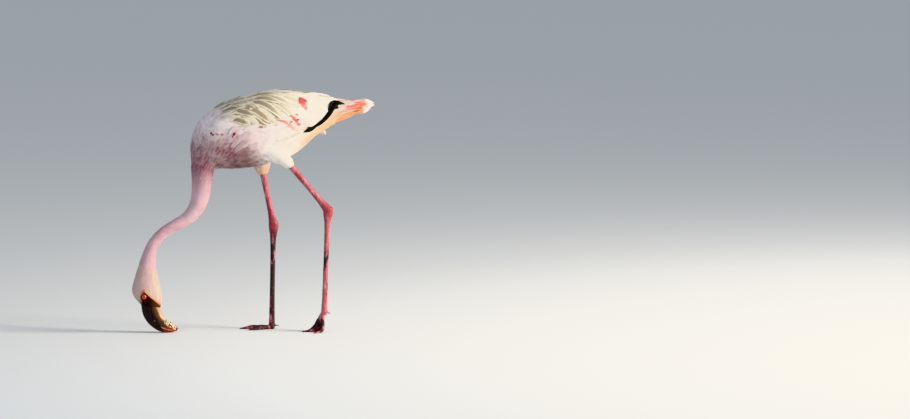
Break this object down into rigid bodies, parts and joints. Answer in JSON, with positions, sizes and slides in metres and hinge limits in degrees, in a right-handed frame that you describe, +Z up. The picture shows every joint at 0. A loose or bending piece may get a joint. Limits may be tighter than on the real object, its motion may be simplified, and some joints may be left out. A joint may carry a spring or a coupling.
{
  "type": "lesser flamingo",
  "caption": "Still, life-size lesser flamingo in mid-step, head down and bill upside down on the floor to feed.",
  "frame": {"origin": "on the floor, below the middle of the bird's bounding box", "axes": "+Z up, -X the way the bird faces, -Y its left side"},
  "size_m": [0.4816, 0.1288, 0.4831],
  "materials": {
    "plumage": "matte pinkish-white body feathers",
    "neck_plumage": "short, dense pink feathers",
    "wing_plumage": "long cream and grey-brown back feathers with crimson spots",
    "tail_plumage": "pink and coral tail feathers",
    "flight_feathers": "black, slightly glossy flight feathers",
    "bill_horn": "dark maroon horn, red towards the tip",
    "eye": "wet orange-red eye",
    "leg_skin": "dark red scaly skin"
  },
  "bodies": {
    "root": {"bill_lower": "bill_horn", "bill_upper": "bill_horn", "eye_left": "eye", "eye_right": "eye", "foot_left": "leg_skin", "foot_right": "leg_skin", "head": "neck_plumage", "neck_base": "neck_plumage", "neck_lower": "neck_plumage", "neck_middle": "neck_plumage", "neck_upper": "neck_plumage", "primaries_left": "flight_feathers", "primaries_right": "flight_feathers", "shank_left": "leg_skin", "shank_right": "leg_skin", "tail": "tail_plumage", "tarsus_left": "leg_skin", "tarsus_right": "leg_skin", "thigh_left": "plumage", "thigh_right": "plumage", "trunk": "plumage", "wing_left": "wing_plumage", "wing_right": "wing_plumage"}
  },
  "joints": []
}
